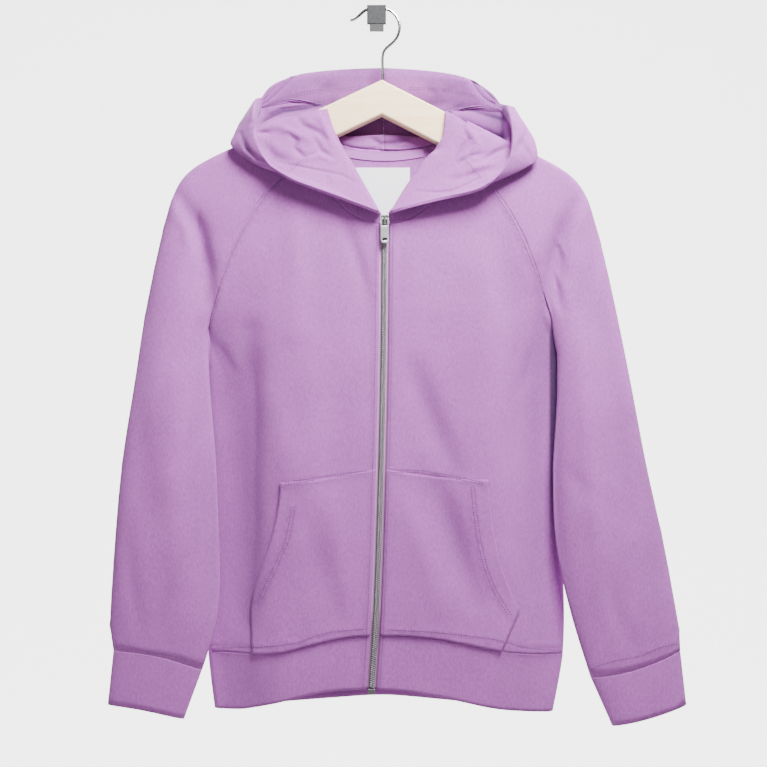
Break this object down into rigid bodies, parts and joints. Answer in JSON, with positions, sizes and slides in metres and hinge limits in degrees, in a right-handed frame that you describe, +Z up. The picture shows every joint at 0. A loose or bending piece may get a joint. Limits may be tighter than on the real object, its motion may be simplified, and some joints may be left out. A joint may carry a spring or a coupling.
{
  "type": "zip up hoodie",
  "caption": "Raglan zip up hoodie with a lying hood, kangaroo pockets and a full-length zip, hung on a flat wooden hanger from a square wall hook.",
  "frame": {"origin": "centre of the wall hook's back face, on the wall", "axes": "+Z up, +Y into the wall, the garment's front faces -Y, and left is -X as seen from the front"},
  "size_m": [0.6705, 0.0609, 0.8359],
  "materials": {
    "cloth": "lavender cotton fleece, matt",
    "tape": "lilac woven tape",
    "label": "blank white woven label",
    "zip_metal": "satin",
    "wood": "pale maple, clear satin varnish",
    "wire": "polished",
    "hook": "dark grey speckled paint"
  },
  "bodies": {
    "hoodie": {"front_left": "cloth", "front_right": "cloth", "back": "cloth", "sleeve_left_front": "cloth", "sleeve_left_back": "cloth", "sleeve_right_front": "cloth", "sleeve_right_back": "cloth", "cuff_left": "cloth", "cuff_right": "cloth", "waistband": "cloth", "hood_left": "cloth", "hood_right": "cloth", "pocket_left": "cloth", "pocket_right": "cloth", "neck_tape": "tape", "zip_tape_left": "tape", "zip_tape_right": "tape", "neck_label": "label", "zip_chain": "zip_metal", "zip_slider": "zip_metal", "zip_loop": "zip_metal", "zip_box": "zip_metal", "hanger_wood": "wood", "hanger_hook": "wire", "wall_hook": "hook"},
    "pull": {"zip_pull": "zip_metal"}
  },
  "joints": [
    {"name": "pull_hinge", "type": "hinge", "parent": "hoodie", "child": "pull", "pos_m": [0.0095, -0.04659, -0.2353], "axis": [-1, 0, 0], "range_deg": [0, 110]}
  ]
}
